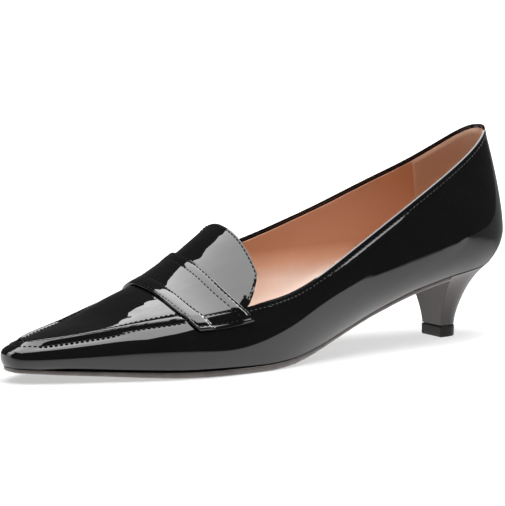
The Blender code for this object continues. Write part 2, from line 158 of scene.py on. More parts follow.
featherRail = makeRail("feather", flat=True)
hipRail = makeRail("hip")
edgeRail = makeRail("edge")
crownRise = railCurve(lastShape["crown"], 1)
crownSquare = railCurve(lastShape["crown"], 2)
crownRidge = railCurve(lastShape["crown"], 3)
turnOuter = railCurve(lastShape["turn"], 1, True)
turnInner = railCurve(lastShape["turn"], 2, True)


def railPoint(rail, place, side):
    place = np.asarray(place, float)
    outer = np.asarray(side, float) > 0.0
    back, front = rail["span"]
    across = np.where(outer, rail["outer"](place), -rail["inner"](place))
    height = np.where(outer, rail["outerHeight"](place), rail["innerHeight"](place))
    return np.stack(np.broadcast_arrays(back + (front - back) * place, across, height), axis=-1)


def wallPoint(place, side, fall):
    # fall is 0 on the edge, 1 on the hip and 2 on the feather line
    feather = railPoint(featherRail, place, side)
    hip = railPoint(hipRail, place, side)
    edge = railPoint(edgeRail, place, side)
    fall = np.asarray(fall, float)[..., None]
    rise = np.clip(1.0 - fall, 0.0, 1.0)
    sink = np.clip(fall - 1.0, 0.0, 1.0)
    late = np.where(np.asarray(side, float) > 0.0, turnOuter(place), turnInner(place))
    point = hip - (hip - edge) * rise ** late[..., None] - (hip - feather) * sink ** 2
    point[..., 2] = (hip + (edge - hip) * rise + (feather - hip) * sink)[..., 2]
    return point


def apronPoint(place, across):
    # across is 1 on the outer edge and -1 on the inner one
    outer = railPoint(edgeRail, place, 1.0)
    inner = railPoint(edgeRail, place, -1.0)
    across = np.asarray(across, float)
    point = (outer + inner) / 2.0 + (outer - inner) / 2.0 * across[..., None]
    ridge = crownRidge(place)
    reach = np.abs(across - ridge) / np.where(across > ridge, 1.0 - ridge, 1.0 + ridge)
    point[..., 2] += crownRise(place) * (1.0 - reach ** crownSquare(place))
    return point


def skinPoint(place, across):
    # the whole front of the last: beyond 1 and -1 it runs down the walls
    place, across = np.broadcast_arrays(np.asarray(place, float), np.asarray(across, float))
    top = apronPoint(place, np.clip(across, -1.0, 1.0))
    side = wallPoint(place, np.sign(across), np.clip(np.abs(across) - 1.0, 0.0, 2.0))
    return np.where((np.abs(across) <= 1.0)[..., None], top, side)


def unit(vectors):
    return vectors / np.maximum(np.linalg.norm(vectors, axis=-1, keepdims=True), 1e-9)


def skinNormal(place, across, reach=0.02, spread=0.06):
    ahead = skinPoint(place + reach, across) - skinPoint(place - reach, across)
    beside = skinPoint(place, across + spread) - skinPoint(place, across - spread)
    normal = unit(np.cross(ahead, beside))
    return normal * np.where(normal[..., 2:3] < 0.0, -1.0, 1.0)


def wallNormal(place, side, fall):
    reach, spread = 0.004, 0.02
    ahead = wallPoint(place + reach, side, fall) - wallPoint(place - reach, side, fall)
    down = wallPoint(place, side, fall + spread) - wallPoint(place, side, np.maximum(fall - spread, 0.0))
    normal = unit(np.cross(ahead, down))
    return normal * np.where(normal[..., 1:2] * side < 0.0, -1.0, 1.0)


def toMetres(points):
    origin = np.array((lastShape["length"] / 2.0, lastShape["centre"], 0.0))
    return (np.asarray(points, float) - origin) * mm


def ease(low, high, value):
    t = np.clip((value - low) / (high - low), 0.0, 1.0)
    return t * t * (3.0 - 2.0 * t)


def bendSheet(bm, columns, rows, shape):
    # a flat grid, bent by shape(u, v) with u and v from 0 to 1
    verts = bmesh.ops.create_grid(bm, x_segments=columns, y_segments=rows, size=0.5)["verts"]
    flat = np.array([v.co[:2] for v in verts]) + 0.5
    for vert, place in zip(verts, toMetres(shape(flat[:, 0], flat[:, 1]))):
        vert.co = place
    return verts, flat


def closeSeams(bm, gap=joinGap):
    bmesh.ops.remove_doubles(bm, verts=bm.verts, dist=gap * mm)
    bmesh.ops.dissolve_degenerate(bm, edges=bm.edges, dist=gap * mm)
    bmesh.ops.recalc_face_normals(bm, faces=bm.faces)
    bm.normal_update()


def faceOut(bm, outward):
    # turns the sheet over if the face that lies furthest along outward looks the other way
    far = max(bm.faces, key=lambda face: face.calc_center_median().dot(outward))
    if far.normal.dot(outward) < 0.0:
        bmesh.ops.reverse_faces(bm, faces=bm.faces)
        bm.normal_update()


def addMesh(name, bm, material):
    mesh = bpy.data.meshes.new(name)
    bm.to_mesh(mesh)
    bm.free()
    mesh.materials.append(material)
    thing = bpy.data.objects.new(name, mesh)
    bpy.context.scene.collection.objects.link(thing)
    return thing


def makePiece(name, bm, material, slotName, *nodes):
    piece = addMesh(name, bm, material)
    piece.data.shade_smooth()
    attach(piece, "root")
    if nodes:
        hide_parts(*nodes)
    return piece


def thicken(piece, depth):
    layer = piece.modifiers.new("thickness", "SOLIDIFY")
    layer.thickness = depth * mm
    layer.offset = -1.0
    layer.use_quality_normals = True
    return layer


def roundRims(piece, width, angle, segments=3):
    rim = piece.modifiers.new("rims", "BEVEL")
    rim.width = width * mm
    rim.segments = segments
    rim.limit_method = "ANGLE"
    rim.angle_limit = math.radians(angle)
    rim.use_clamp_overlap = True
    rim.harden_normals = True


# Finishes. Every pattern reads Object coordinates in metres.
class Finish:
    def __init__(self, name, gloss, coat=0.0, coatRoughness=0.03, specular=0.5):
        self.material = bpy.data.materials.new(name)
        self.material.use_nodes = True
        self.tree = self.material.node_tree
        self.shader = self.tree.nodes["Principled BSDF"]
        self.put("Roughness", gloss)
        self.put("Coat Weight", coat)
        self.put("Coat Roughness", coatRoughness)
        self.put("Specular IOR Level", specular)
        self.place = self.add("TexCoord").outputs["Object"]
        self.height = None

    def put(self, socket, value):
        # one value for the whole surface
        self.shader.inputs[socket].default_value = value

    def feed(self, source, socket):
        self.link(source, self.shader.inputs[socket])

    def link(self, start, end):
        self.tree.links.new(start, end)

    def add(self, kind, **values):
        node = self.tree.nodes.new("ShaderNode" + kind)
        for socket, value in values.items():
            node.inputs[socket].default_value = value
        return node

    def stretched(self, scale):
        mapping = self.add("Mapping", Scale=scale)
        self.link(self.place, mapping.inputs["Vector"])
        return mapping.outputs["Vector"]

    def cloud(self, scale, detail=3.0, rough=0.55, vector=None):
        noise = self.add("TexNoise", Scale=scale, Detail=detail, Roughness=rough)
        self.link(vector or self.place, noise.inputs["Vector"])
        return noise.outputs["Fac"]

    def upright(self):
        parts = self.add("SeparateXYZ")
        self.link(self.place, parts.inputs["Vector"])
        return parts.outputs["Z"]

    def cells(self, scale):
        voronoi = self.add("TexVoronoi", Scale=scale)
        voronoi.feature = "DISTANCE_TO_EDGE"
        self.link(self.place, voronoi.inputs["Vector"])
        return voronoi.outputs["Distance"]

    def painted(self, name):
        # a number kept at each vertex of the mesh
        attribute = self.add("Attribute")
        attribute.attribute_name = name
        return attribute.outputs["Fac"]

    def join(self, first, second, operation):
        node = self.add("Math")
        node.operation = operation
        self.link(first, node.inputs[0])
        self.link(second, node.inputs[1])
        return node.outputs["Value"]

    def times(self, first, second):
        return self.join(first, second, "MULTIPLY")

    def measure(self, operation, vector):
        node = self.add("VectorMath")
        node.operation = operation
        node.inputs[1].default_value = vector
        self.link(self.place, node.inputs[0])
        return node.outputs["Value"]

    def spread(self, source, low, high, toLow=0.0, toHigh=1.0):
        ends = {"From Min": low, "From Max": high, "To Min": toLow, "To Max": toHigh}
        remap = self.add("MapRange", **ends)
        self.link(source, remap.inputs["Value"])
        return remap.outputs["Result"]

    def color(self, source, stops, socket="Base Color", smooth="LINEAR"):
        ramp = self.add("ValToRGB")
        ramp.color_ramp.interpolation = smooth
        elements = ramp.color_ramp.elements
        while len(elements) < len(stops):
            elements.new(0.5)
        for element, (spot, tint) in zip(elements, stops):
            element.position = spot
            element.color = (*tint, 1.0)
        self.link(source, ramp.inputs["Fac"])
        self.feed(ramp.outputs["Color"], socket)

    def gloss(self, source, low, high):
        self.feed(self.spread(source, 0.3, 0.7, low, high), "Roughness")

    def relief(self, source, depth):
        # each relief is laid over the one before, depth in millimetres
        bump = self.add("Bump", Strength=1.0, Distance=depth * mm)
        self.link(source, bump.inputs["Height"])
        if self.height is not None:
            self.link(self.height, bump.inputs["Normal"])
        self.height = bump.outputs["Normal"]

    def done(self):
        if self.height is not None:
            self.feed(self.height, "Normal")
            self.feed(self.height, "Coat Normal")
        return self.material


def patentLeather():
    finish = Finish("patentLeather", 0.10, coat=1.0, coatRoughness=0.01, specular=0.0)
    finish.color(finish.cloud(40.0), ((0.3, (0.0035, 0.0035, 0.004)), (0.7, (0.0055, 0.0055, 0.006))))
    finish.gloss(finish.cloud(120.0, 4.0), 0.07, 0.15)
    finish.relief(finish.cloud(60.0, 2.0, 0.4), 0.10)     # slow waves under the lacquer
    finish.relief(finish.times(finish.cloud(95.0, 1.0, 0.4), finish.painted("loose")), 0.42)
    finish.relief(finish.times(finish.cloud(210.0, 1.0, 0.4), finish.painted("loose")), 0.09)
    finish.relief(finish.times(finish.cloud(520.0, 2.0, 0.6), finish.painted("pucker")), 0.22)
    finish.relief(finish.cloud(380.0, 1.0, 0.4), 0.003)   # orange peel
    return finish.done()


def liningLeather():
    finish = Finish("liningLeather", 0.36, coat=0.5, coatRoughness=0.34, specular=0.7)
    # paler low down towards the insole: a painted sheen; darker and deeper orange higher up
    blotches = finish.spread(finish.cloud(26.0, 4.0), 0.25, 0.75, 0.85, 1.1)
    low = finish.times(blotches, finish.spread(finish.upright(), 0.028, 0.042, 1.0, 0.2))
    finish.color(low, ((0.2, (0.54, 0.235, 0.115)), (0.55, (0.74, 0.44, 0.29)), (1.0, (0.97, 0.80, 0.70))))
    finish.gloss(finish.cloud(300.0), 0.30, 0.40)
    finish.relief(finish.cloud(24.0, 2.0), 0.40)
    finish.relief(finish.cells(1500.0), 0.015)
    return finish.done()


def sockLeather():
    finish = Finish("sockLeather", 0.5, specular=0.4)
    finish.color(finish.cloud(26.0, 4.0), ((0.3, (0.76, 0.55, 0.44)), (0.7, (0.82, 0.61, 0.49))))
    finish.gloss(finish.cloud(300.0), 0.45, 0.55)
    finish.relief(finish.cells(1500.0), 0.015)
    return finish.done()


def gripLeather():
    finish = Finish("gripLeather", 0.62)
    finish.color(finish.cloud(34.0, 4.0), ((0.3, (0.50, 0.28, 0.175)), (0.7, (0.58, 0.33, 0.21))))
    finish.gloss(finish.cloud(300.0), 0.55, 0.7)
    finish.relief(finish.cells(2200.0), 0.03)
    return finish.done()


def soleLeather():
    finish = Finish("soleLeather", 0.42, coat=0.15, coatRoughness=0.3)
    blotches = finish.spread(finish.cloud(160.0, 5.0), 0.25, 0.75, 0.75, 1.25)
    wearAndShade = finish.times(blotches, finish.painted("wearAndShade"))
    # the darkest colour is painted shade at the joint with the upper; the others are the edge's own tone and
    # its wear
    jointShade, edge, bare = (0.006, 0.005, 0.005), (0.022, 0.017, 0.015), (0.125, 0.103, 0.095)
    finish.color(wearAndShade, ((0.0, jointShade), (0.45, edge), (1.0, bare)))
    finish.gloss(finish.cloud(220.0, 4.0), 0.26, 0.42)
    finish.relief(finish.cloud(900.0, 4.0, 0.6), 0.03)
    return finish.done()


def heelLacquer():
    finish = Finish("heelLacquer", 0.22, coat=0.45, coatRoughness=0.08, specular=0.2)
    streaks = finish.cloud(30.0, 4.0, 0.6, finish.stretched((8.0, 8.0, 0.6)))
    finish.color(streaks, ((0.3, (0.024, 0.0155, 0.0135)), (0.7, (0.042, 0.029, 0.0255))))
    finish.gloss(finish.cloud(140.0), 0.12, 0.22)
    finish.relief(finish.cloud(60.0, 2.0), 0.04)
    return finish.done()


def wearRubber():
    finish = Finish("wearRubber", 0.36, coat=0.1, coatRoughness=0.25, specular=0.12)
    finish.color(finish.cloud(300.0), ((0.3, (0.007, 0.0055, 0.005)), (0.7, (0.012, 0.0095, 0.0085))))
    finish.gloss(finish.cloud(500.0), 0.3, 0.44)
    finish.relief(finish.cloud(1500.0), 0.02)
    return finish.done()


def blackThread():
    finish = Finish("blackThread", 0.45, coatRoughness=0.2, specular=0.06)
    finish.feed(finish.spread(finish.painted("shine"), 0.0, 1.0, 0.03, 0.5), "Coat Weight")
    finish.color(finish.cloud(900.0), ((0.3, (0.006, 0.006, 0.006)), (0.7, (0.014, 0.014, 0.015))))
    finish.gloss(finish.cloud(1500.0), 0.4, 0.55)
    finish.relief(finish.cloud(3000.0, 2.0), 0.04)
    return finish.done()


patent = patentLeather()
lining = liningLeather()
cover = sockLeather()
grip = gripLeather()
sole = soleLeather()
lacquer = heelLacquer()
rubber = wearRubber()
thread = blackThread()
print("finishes made")

# Upper: two walls, apron and tongue in one sheet, with the seam and the turned topline raised on it.
upperCut = {
    "backColumns": 66, "frontColumns": 90,
    "nearRows": (0.0, 0.2, 0.6, 0.9, 1.2, 1.5, 1.8, 2.1, 2.4, 2.8, 3.3, 4.0),   # distances from the edge, mm
    "wallRows": (11, 11), "apronColumns": 30,
    # share of the half apron that the seam's columns take, what the toe adds to it and where
    "seamBand": (0.272, 0.12), "seamBandPlaces": (0.95, 0.99),
    "thick": 0.80, "rim": 0.40, "rimAngle": 58,
    "wallLoose": 0.12, "apronLoose": 1.0,     # how far the waves of the lacquer show
    "puckerReach": 0.9, "seamPucker": 0.3,    # puckers beside the stitch rows
    "trimFade": 0.012,                        # how far behind the throat the trim runs out
}
# Raise of the apron seam against the distance from the edge, minus on the wall side.
seamProfile = {
    "distance": (-4.0, -2.7, -1.75, -1.1, -0.5, 0.0, 0.5, 1.1, 1.7, 2.35, 3.1, 4.0),
    "raise": (0.0, 0.0, -0.20, 0.0, 0.38, 0.78, 0.95, 0.80, 0.36, -0.14, 0.0, 0.0),
    "fade": (0.7350, 0.7440),
    "tipLess": 0.25, "tipPlaces": (0.965, 0.995),
    # along the toe the wall side is wider and puffs out below the stitches
    "toeDistance": (-8.5, -5.2, -3.0, -2.2, -1.2, -0.5, 0.0, 0.5, 1.1, 1.7, 2.35, 3.1),
    "toeRaise": (0.0, 0.30, -0.38, -0.02, 0.42, 0.68, 0.82, 0.92, 0.80, 0.36, -0.14, 0.0),
    "toePlaces": (0.80, 0.87, 0.96, 0.99), "toeLess": 0.7,
    # stitch rows: on the wall, on the wall along the toe, on the apron
    "wallRow": 1.55, "toeRow": 3.05, "apronRow": 2.35,
}
# Raise of the turned topline against the distance from it, and what the slack middle of the side adds.
toplineProfile = {
    "distance": (0.0, 0.2, 0.6, 0.9, 1.2, 1.5, 1.8, 2.1, 2.4, 2.8, 3.3, 4.0, 7.5, 15.0),
    "raise": (0.29, 0.17, 0.17, 0.16, 0.14, 0.10, 0.0, -0.12, -0.05, 0.0, 0.0, 0.0, 0.0, 0.0),
    "slack": (0.0, 0.0, 0.0, 0.0, 0.0, 0.0, 0.02, 0.13, 0.34, 0.66, 0.92, 0.98, 0.72, 0.0),
    "slackPlaces": (0.22, 0.27, 0.36, 0.46),
    "backDrop": 0.05, "backPlaces": (0.02, 0.16),     # the very edge lies lower round the back
    "fade": (0.585, 0.612),
    "row": 2.1,
}
# Tongue: from the throat back, as wide as the apron there and flared on its outer side.
tongueCut = {
    "rows": 16, "crowd": 0.8, "length": 0.040, "taper": 0.22, "round": 0.04, "halfWide": 33.0,
    "flare": 7.0, "flareFrom": 0.5, "flareRise": 0.25, "flareLess": 0.6, "flareLessFrom": 0.55,
}
nearCount = len(upperCut["nearRows"]) - 1
wallCount = nearCount + sum(upperCut["wallRows"])
apronCount = 2 * nearCount + upperCut["apronColumns"]


def stationPlaces():
    throat = placeAngle(lastShape["throat"])
    back = np.linspace(0.0, throat, upperCut["backColumns"] + 1)
    front = np.linspace(throat, math.pi, upperCut["frontColumns"] + 1)
    return (1.0 - np.cos(back)) / 2.0, (1.0 - np.cos(front)) / 2.0


def onSteps(share, values):
    # reads a list of values with share running from 0 to 1 along it
    return np.interp(share * (len(values) - 1), np.arange(len(values)), values)


def wallReach(place, side):
    return np.linalg.norm(railPoint(edgeRail, place, side) - railPoint(hipRail, place, side), axis=-1)


def wallFall(place, side, share, trim=0.0):
    # rows of a wall: close together by the edge, then spread down to the feather line
    near = upperCut["nearRows"]
    upper, lower = upperCut["wallRows"]
    row = share * wallCount
    reach = wallReach(place, side)
    last = (near[-1] + trim) / reach
    byEdge = (np.interp(row, range(len(near)), near) + trim) / reach
    above = last + (1.0 - last) * (row - nearCount) / upper
    below = 1.0 + (row - nearCount - upper) / lower
    return np.where(row <= nearCount, byEdge, np.where(row <= nearCount + upper, above, below))


def seamBand(place):
    # how far across the apron the columns beside the seam reach: the seam narrows with the apron
    share, toeGain = upperCut["seamBand"]
    return share + toeGain * ease(*upperCut["seamBandPlaces"], place)


def apronAcross(place, share):
    # columns of the apron: close together by both edges. Also gives the distance from the nearer edge.
    near = upperCut["nearRows"]
    column = share * apronCount
    fromMiddle = column - apronCount / 2.0
    fromEdge = np.minimum(column, apronCount - column)
    distance = np.interp(fromEdge, range(len(near)), near)
    inBand = fromEdge <= nearCount
    band = seamBand(place)
    between = (1.0 - band) * np.abs(fromMiddle) / (upperCut["apronColumns"] / 2.0)
    size = np.where(inBand, 1.0 - band * distance / near[-1], between)
    return np.sign(fromMiddle) * size, np.where(inBand, distance, near[-1])


def seamToe(place):
    start, full, less, end = seamProfile["toePlaces"]
    return ease(start, full, place) * (1.0 - seamProfile["toeLess"] * ease(less, end, place))


def seamRow(place):
    # distance of the outer stitches from the edge
    return seamProfile["wallRow"] + (seamProfile["toeRow"] - seamProfile["wallRow"]) * seamToe(place)


def seamRaise(place, distance):
    tip = 1.0 - seamProfile["tipLess"] * ease(*seamProfile["tipPlaces"], place)
    side = np.interp(distance, seamProfile["distance"], seamProfile["raise"])
    toe = np.interp(distance, seamProfile["toeDistance"], seamProfile["toeRaise"])
    return (side + (toe - side) * seamToe(place)) * ease(*seamProfile["fade"], place) * tip


def toplineRaise(place, distance):
    fade = 1.0 - ease(*toplineProfile["fade"], place)
    start, full, less, end = toplineProfile["slackPlaces"]
    slack = ease(start, full, place) * (1.0 - ease(less, end, place))
    rows = toplineProfile["distance"]
    lift = np.interp(distance, rows, toplineProfile["raise"])
    lift = lift + np.interp(distance, rows, toplineProfile["slack"]) * slack
    drop = toplineProfile["backDrop"] * (1.0 - ease(*toplineProfile["backPlaces"], place))
    return (lift - np.where(distance < rows[1] / 2.0, drop, 0.0)) * fade


def puckerAt(distance, row):
    return np.exp(-((distance - row) / upperCut["puckerReach"]) ** 2)


def tonguePlace(share, across, trim=0.0):
    # place and across of a tongue point: share is 0 at the throat and 1 at the tip
    k = share ** tongueCut["crowd"]
    narrow = 1.0 - tongueCut["taper"] * k ** 1.5
    reach = k - tongueCut["round"] * across ** 6 * k ** 2
    back, front = lastShape["edgeSpan"]
    long = tongueCut["length"] - trim / (front - back)
    return lastShape["throat"] - long * reach, across * narrow * (1.0 - trim / tongueCut["halfWide"] * k)


def tonguePoint(share, across, trim=0.0):
    # the outer side of the tongue stands off the foot a little
    point = apronPoint(*tonguePlace(share, across, trim))
    rise = np.sin(np.clip(share / tongueCut["flareRise"], 0.0, 1.0) * math.pi / 2.0)
    flare = rise * (1.0 - tongueCut["flareLess"] * ease(tongueCut["flareLessFrom"], 1.0, share))
    point[..., 2] += tongueCut["flare"] * np.clip(across - tongueCut["flareFrom"], 0.0, None) ** 2 * flare
    return point


def lastSheets(bm, trim=0.0, low=1.0):
    # lays the four sheets of the upper and keeps each vertex's raise. Trim draws in the topline and
    # the tongue, low the foot.
    names = ("raise", "pucker", "loose")
    for name in names:
        bm.verts.layers.float.new(name)
    raised, pucker, loose = (bm.verts.layers.float[name] for name in names)
    back, front = stationPlaces()
    stations = np.concatenate((back, front[1:]))
    throat = lastShape["throat"]

    def mark(verts, lifts, folds, slack):
        for vert, lift, fold in zip(verts, lifts, folds):
            vert[raised] = lift
            vert[pucker] = fold
            vert[loose] = slack

    for side in (1.0, -1.0):

        def wallShape(u, v, side=side):
            place = onSteps(u, stations)
            fall = wallFall(place, side, v, trim * (1.0 - ease(throat - upperCut["trimFade"], throat, place)))
            return wallPoint(place, side, np.where(fall > 1.0, 1.0 + (fall - 1.0) * low, fall))

        verts, flat = bendSheet(bm, len(stations) - 1, wallCount, wallShape)
        place = onSteps(flat[:, 0], stations)
        distance = wallFall(place, side, flat[:, 1]) * wallReach(place, side)
        seam = ease(*seamProfile["fade"], place)
        topline = 1.0 - ease(*toplineProfile["fade"], place)
        tight = upperCut["seamPucker"] * puckerAt(distance, seamRow(place)) * seam
        tight = tight + puckerAt(distance, toplineProfile["row"]) * topline
        lifts = seamRaise(place, -distance) + toplineRaise(place, distance)
        mark(verts, lifts, tight, upperCut["wallLoose"])

    def apronShape(u, v):
        place = onSteps(u, front)
        return apronPoint(place, apronAcross(place, v)[0])

    verts, flat = bendSheet(bm, len(front) - 1, apronCount, apronShape)
    place = onSteps(flat[:, 0], front)
    distance = apronAcross(place, flat[:, 1])[1]
    seam = ease(*seamProfile["fade"], place)
    tight = upperCut["seamPucker"] * puckerAt(distance, seamProfile["apronRow"]) * seam
    mark(verts, seamRaise(place, distance), tight, upperCut["apronLoose"])

    def tongueShape(u, v):
        return tonguePoint(u, apronAcross(np.full(v.shape, throat), v)[0], trim)

    for vert in bendSheet(bm, tongueCut["rows"], apronCount, tongueShape)[0]:
        vert[loose] = upperCut["apronLoose"]
    return raised


def liftSheet(bm, raised, lift):
    # closes the sheets, then moves every vertex along its own normal, lift in millimetres
    closeSeams(bm)
    faceOut(bm, Vector((1.0, 0.0, 0.0)))
    moves = [(vert, vert.co + vert.normal * (lift(vert) * mm)) for vert in bm.verts]
    for vert, place in moves:
        vert.co = place
    bm.verts.layers.float.remove(raised)


def makeUpper():
    bm = bmesh.new()
    raised = lastSheets(bm)
    liftSheet(bm, raised, lambda vert: vert[raised])
    piece = makePiece("upperLeather", bm, patent, "patent", "upper")
    thicken(piece, upperCut["thick"])
    roundRims(piece, upperCut["rim"], upperCut["rimAngle"])


makeUpper()
print("upper made")

# Lining: the same sheet drawn in under the leather, its top edge below the turned topline.
liningCut = {"under": 0.88, "thick": 0.45, "trim": 1.5, "low": 0.90}


def makeLining():
    bm = bmesh.new()
    raised = lastSheets(bm, liningCut["trim"], liningCut["low"])
    liftSheet(bm, raised, lambda vert: -liningCut["under"])
    thicken(makePiece("liningLeather", bm, lining, "lining"), liningCut["thick"])


makeLining()

# Heel grip: a thin patch over the lining round the back, with a straight front end.
gripCut = {
    "front": 0.104, "under": 1.36, "top": 1.7, "low": 1.88, "thick": 0.06,
    "columns": 30, "rows": 30, "join": 0.02,
}


def makeGrip():
    bm = bmesh.new()
    for side in (1.0, -1.0):

        def gripShape(u, v, side=side):
            place = gripCut["front"] * (1.0 - np.cos(u * math.pi / 2.0))
            top = gripCut["top"] / wallReach(place, side)
            fall = top + (gripCut["low"] - top) * v
            inner = wallPoint(place, side, fall) - wallNormal(place, side, fall) * gripCut["under"]
            inner[..., 1] = np.where(u < 1e-6, 0.0, inner[..., 1])
            return inner

        bendSheet(bm, gripCut["columns"], gripCut["rows"], gripShape)
    closeSeams(bm, gripCut["join"])
    faceOut(bm, Vector((-1.0, 0.0, 0.0)))
    thicken(makePiece("heelGrip", bm, grip, "lining"), gripCut["thick"])


makeGrip()
print("lining made")

# Sock: the insole with its cover, slightly crowned.
sockCut = {
    "inset": 1.3, "thick": 2.0, "clear": 0.2, "crown": 0.5, "crownPlaces": (0.0, 0.03),
    "columns": 120, "rows": 24, "rim": 0.35,
}


def featherInset(place, side, inset):
    # a point of the feather line drawn in square to it, seen from above
    step, tip = 0.004, 0.0005
    low = np.maximum(place - step, 0.0)
    high = np.minimum(place + step, 1.0)
    ahead = railPoint(featherRail, high, side) - railPoint(featherRail, low, side)
    blunt = (place <= step) | (place >= 1.0 - tip)
    turn = np.where(place <= step, 1.0, -1.0)
    ahead[..., 0] = np.where(blunt, 0.0, ahead[..., 0])
    ahead[..., 1] = np.where(blunt, turn * side, ahead[..., 1])
    square = unit(np.stack((ahead[..., 1], -ahead[..., 0]), axis=-1)) * side[..., None]
    point = railPoint(featherRail, place, side)
    point[..., :2] += square * inset
    return point


def makeSock():
    bm = bmesh.new()

    def sockShape(u, v):
        place = (1.0 - np.cos(u * math.pi)) / 2.0
        outer = featherInset(place, np.ones_like(place), sockCut["inset"])
        inner = featherInset(place, -np.ones_like(place), sockCut["inset"])
        point = outer + (inner - outer) * v[..., None]
        crown = sockCut["crown"] * (1.0 - (2.0 * v - 1.0) ** 2) * ease(*sockCut["crownPlaces"], place)
        point[..., 2] += sockCut["thick"] + crown
        return point

    bendSheet(bm, sockCut["columns"], sockCut["rows"], sockShape)
    closeSeams(bm)
    faceOut(bm, Vector((0.0, 0.0, 1.0)))
    piece = makePiece("sock", bm, cover, "lining", "insole")
    # the board under the cover is painted near black: painted shade where it shows in the joint between the
    # upper and the heel
    piece.data.materials.append(sole)
    board = thicken(piece, sockCut["thick"] - sockCut["clear"])
    board.material_offset = board.material_offset_rim = 1
    roundRims(piece, sockCut["rim"], angle=50, segments=2)


makeSock()
print("sock made")

# Outsole, from its solid with softened edges, darkest beside the upper: painted shade at its joint with the
# upper; its edge below shows wear.
outsoleCut = {"flat": 0.4, "sharp": 32, "edge": 0.25, "wearAndShade": 0.85}     # flat and sharp are angles in degrees


def makeOutsole():
    bm = bmesh.new()
    bm.from_mesh(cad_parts["outsole"].data)
    bmesh.ops.remove_doubles(bm, verts=bm.verts, dist=joinGap * mm)
    flat = math.radians(outsoleCut["flat"])
    bmesh.ops.dissolve_limit(bm, angle_limit=flat, verts=bm.verts, edges=bm.edges)
    limit = math.radians(outsoleCut["sharp"])
    sharp = [edge for edge in bm.edges if edge.is_manifold and edge.calc_face_angle() > limit]
    bmesh.ops.bevel(bm, geom=sharp, offset=outsoleCut["edge"] * mm, offset_type="OFFSET", affect="EDGES",
                    segments=2, profile=0.5, material=-1, clamp_overlap=True)
    wearAndShade = bm.verts.layers.float.new("wearAndShade")
    bm.normal_update()
    for vert in bm.verts:
        # vertices on faces that look up, along the joint with the upper, get painted shade; the rest show
        # wear
        up = max(face.normal.z for face in vert.link_faces)
        vert[wearAndShade] = 0.0 if up > 0.5 else outsoleCut["wearAndShade"]
    makePiece("outsoleLeather", bm, sole, "sole", "outsole")


makeOutsole()
print("outsole made")

# Heel: from the flat tip up to the seat, with a flat breast. Lengths in millimetres from the back.
heelCut = {
    "breast": 0.132, "tipBack": 25.6, "tipFront": 35.5, "tipHalf": 7.2, "tipSquare": 0.62,
    "topPiece": 5.0, "gap": 0.3, "seatGap": 0.6, "seatInset": 0.6,
    "seatRim": 0.9, "seatStep": 0.4,                      # the seat steps up inside its rim, under the upper
    "flare": (0.80, 1.55, 0.20, 6.0), "crowd": 1.2,
    "columns": 80, "rows": 44, "backShare": 0.8, "corner": 0.35,
}
# Top piece: outset from the heel's tip against the share of its height.
topPieceCut = {
    "share": (0.0, 0.1, 0.94, 1.0), "outset": (-0.05, 0.12, 0.16, 0.08),
    "columns": 60, "rows": 8, "corner": 0.3,
}


def tipOutline(share, outset=0.0):
    turn = (0.5 - share) * math.pi
    along = np.abs(np.cos(turn)) ** heelCut["tipSquare"]
    across = np.sign(np.sin(turn)) * np.abs(np.sin(turn)) ** heelCut["tipSquare"]
    depth = heelCut["tipFront"] - heelCut["tipBack"] + 2.0 * outset
    front, half = heelCut["tipFront"] + outset, heelCut["tipHalf"] + outset
    return np.stack((front - depth * along, half * across), axis=-1)


def seatOutline(share):
    spot = placeAngle(heelCut["breast"]) * (1.0 - 2.0 * share)
    place = (1.0 - np.cos(spot)) / 2.0
    return featherInset(place, np.where(spot >= 0.0, 1.0, -1.0), heelCut["seatInset"])


def heelPoint(share, level):
    slow, slowPower, fast, fastPower = heelCut["flare"]
    spread = slow * level ** slowPower + fast * level ** fastPower
    tip, seat = tipOutline(share), seatOutline(share)
    base = heelCut["topPiece"] + heelCut["gap"]
    plan = tip + (seat[..., :2] - tip) * spread[..., None]
    height = base + (seat[..., 2] - heelCut["seatGap"] - base) * level
    return np.concatenate((plan, height[..., None]), axis=-1)


def topPiecePoint(share, level):
    plan = tipOutline(share, np.interp(level, topPieceCut["share"], topPieceCut["outset"]))
    return np.concatenate((plan, heelCut["topPiece"] * level[..., None]), axis=-1)


def ringSheet(cut, shape, crowd=1.0):
    # a closed block: its sheet runs round the back as far as backShare, then straight across the breast
    bm = bmesh.new()
    backShare = heelCut["backShare"]

    def ringShape(u, v):
        level = 1.0 - (1.0 - v) ** crowd
        across = np.clip((u - backShare) / (1.0 - backShare), 0.0, 1.0)[..., None]
        first, last = shape(np.ones_like(u), level), shape(np.zeros_like(u), level)
        rounded = shape(np.clip(u / backShare, 0.0, 1.0), level)
        return np.where((u > backShare)[..., None], first + (last - first) * across, rounded)

    bendSheet(bm, cut["columns"], cut["rows"], ringShape)
    bmesh.ops.remove_doubles(bm, verts=bm.verts, dist=joinGap * mm)
    bmesh.ops.holes_fill(bm, edges=[edge for edge in bm.edges if edge.is_boundary], sides=0)
    bmesh.ops.recalc_face_normals(bm, faces=bm.faces)
    bm.normal_update()
    return bm


def makeHeel():
    bm = ringSheet(heelCut, heelPoint, heelCut["crowd"])
    seat = max(bm.faces, key=lambda face: face.calc_center_median().z)
    rim, step = heelCut["seatRim"] * mm, heelCut["seatStep"] * mm
    bmesh.ops.inset_region(bm, faces=[seat], thickness=rim, depth=step, use_even_offset=True)
    roundRims(makePiece("heelBlock", bm, lacquer, "heel", "heel"), heelCut["corner"], angle=40, segments=4)


def makeTopPiece():
    bm = ringSheet(topPieceCut, topPiecePoint)
    piece = makePiece("topPiece", bm, rubber, "top_piece", "top_piece")
    roundRims(piece, topPieceCut["corner"], angle=40, segments=2)


makeHeel()
makeTopPiece()
print("heel made")

